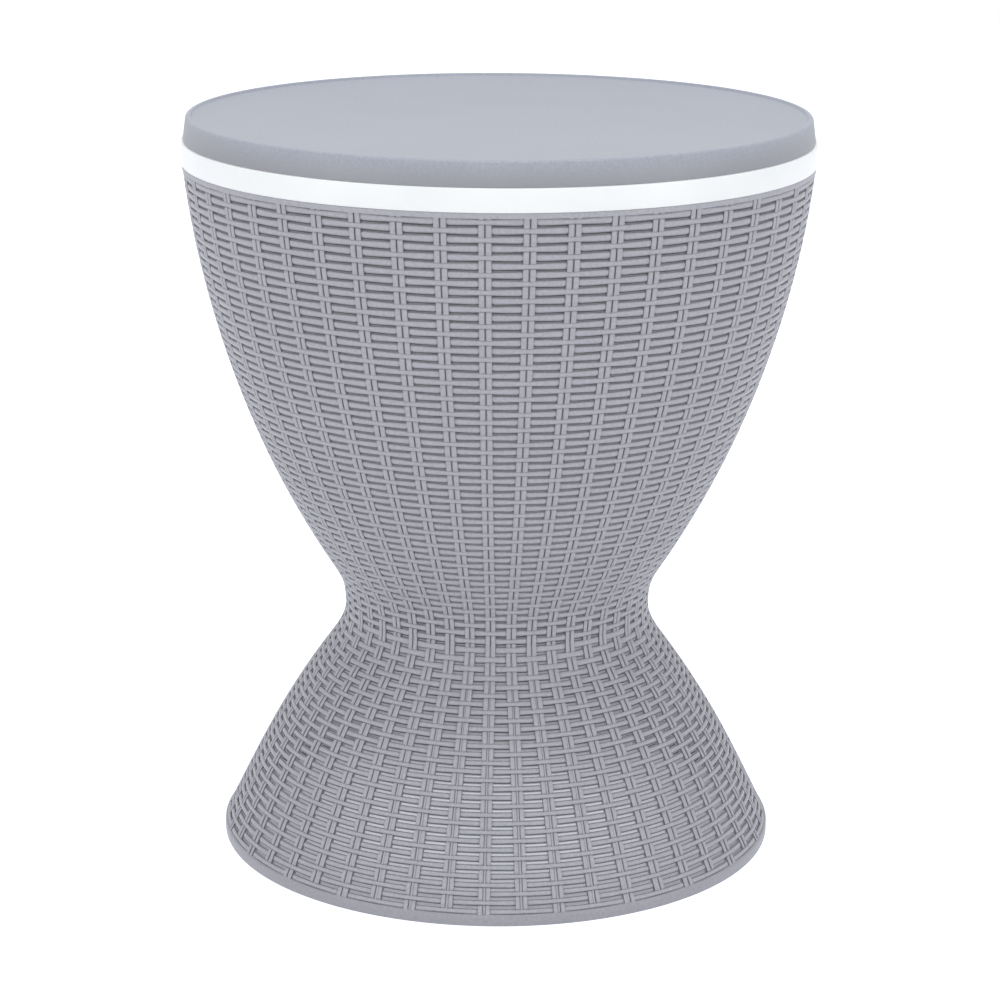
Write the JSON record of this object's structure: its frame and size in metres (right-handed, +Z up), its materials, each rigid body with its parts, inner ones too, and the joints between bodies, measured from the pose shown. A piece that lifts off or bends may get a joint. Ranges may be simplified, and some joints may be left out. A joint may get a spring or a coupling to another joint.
{
  "type": "ice bucket coffee table",
  "caption": "Round hourglass side table in woven resin with a light ring at the rim; its top is the lid of an ice bucket and lifts on a centre post to bar height.",
  "frame": {"origin": "on the floor, under the middle of the table", "axes": "+Z up along the post; the front of the table is towards -Y and the battery case is at +Y"},
  "size_m": [0.5, 0.5, 0.5929],
  "materials": {
    "woven_resin": "moulded cane weave, satin",
    "lid_resin": "fine grained, satin",
    "plain_resin": "smooth, satin",
    "dark_resin": "smooth, satin",
    "white_resin": "smooth, matte",
    "bucket_resin": "smooth, half gloss",
    "light_diffuser": "milky, lit from inside",
    "led_strip": "white film with small lights",
    "lid_foam": "expanded foam",
    "screw_steel": "zinc plated",
    "contact_metal": "nickel plated",
    "cell_wrap": "plain printed sleeve",
    "seal_rubber": "matte"
  },
  "bodies": {
    "stand": {"skirt_shell": "woven_resin", "bowl_shell": "woven_resin", "waist_hub": "plain_resin", "guide_tube": "plain_resin", "top_bush": "dark_resin", "waist_screw_1": "screw_steel", "waist_screw_2": "screw_steel", "waist_screw_3": "screw_steel", "waist_screw_4": "screw_steel", "waist_screw_5": "screw_steel", "waist_screw_6": "screw_steel", "hub_screw_1": "screw_steel", "hub_screw_2": "screw_steel", "hub_screw_3": "screw_steel", "hub_screw_4": "screw_steel", "ice_bucket": "bucket_resin", "light_ring": "light_diffuser", "led_carrier": "white_resin", "led_strip": "led_strip", "led_lead": "seal_rubber", "rim_screw_1": "screw_steel", "rim_screw_2": "screw_steel", "rim_screw_3": "screw_steel", "rim_screw_4": "screw_steel", "rim_screw_5": "screw_steel", "rim_screw_6": "screw_steel", "battery_box": "plain_resin", "contact_left": "contact_metal", "contact_right": "contact_metal", "battery_cell_1": "cell_wrap", "battery_cell_2": "cell_wrap", "battery_cell_3": "cell_wrap", "switch_body": "dark_resin"},
    "shoe": {"glide_shoe": "dark_resin"},
    "lid": {"lid_top": "lid_resin", "lid_base": "lid_resin", "lid_insulation": "lid_foam", "lift_post": "plain_resin", "post_cap": "dark_resin", "post_flange": "plain_resin", "post_pin": "screw_steel", "lid_screw_1": "screw_steel", "lid_screw_2": "screw_steel", "lid_screw_3": "screw_steel", "lid_screw_4": "screw_steel", "lid_screw_5": "screw_steel", "lid_screw_6": "screw_steel", "flange_screw_1": "screw_steel", "flange_screw_2": "screw_steel", "flange_screw_3": "screw_steel", "flange_screw_4": "screw_steel"},
    "drain": {"drain_plug": "dark_resin", "drain_seal": "seal_rubber"},
    "button": {"switch_button": "seal_rubber"},
    "door": {"battery_door": "plain_resin"}
  },
  "joints": [
    {"name": "lid_lift", "type": "slide", "parent": "stand", "child": "shoe", "axis": [0, 0, 1], "range_m": [0, 0.25]},
    {"name": "lid_twist", "type": "hinge", "parent": "shoe", "child": "lid", "pos_m": [0, 0, 0.21], "axis": [0, 0, -1], "range_deg": [0, 45]},
    {"name": "drain_plug_pull", "type": "slide", "parent": "stand", "child": "drain", "axis": [0, 0, 1], "range_m": [0, 0.03]},
    {"name": "switch_press", "type": "slide", "parent": "stand", "child": "button", "axis": [0, 0, -1], "range_m": [0, 0.002], "stiffness_N_per_m": 400, "springref_m": -0.001},
    {"name": "battery_door_pull", "type": "slide", "parent": "stand", "child": "door", "axis": [0, -1, 0], "range_m": [0, 0.02]}
  ]
}
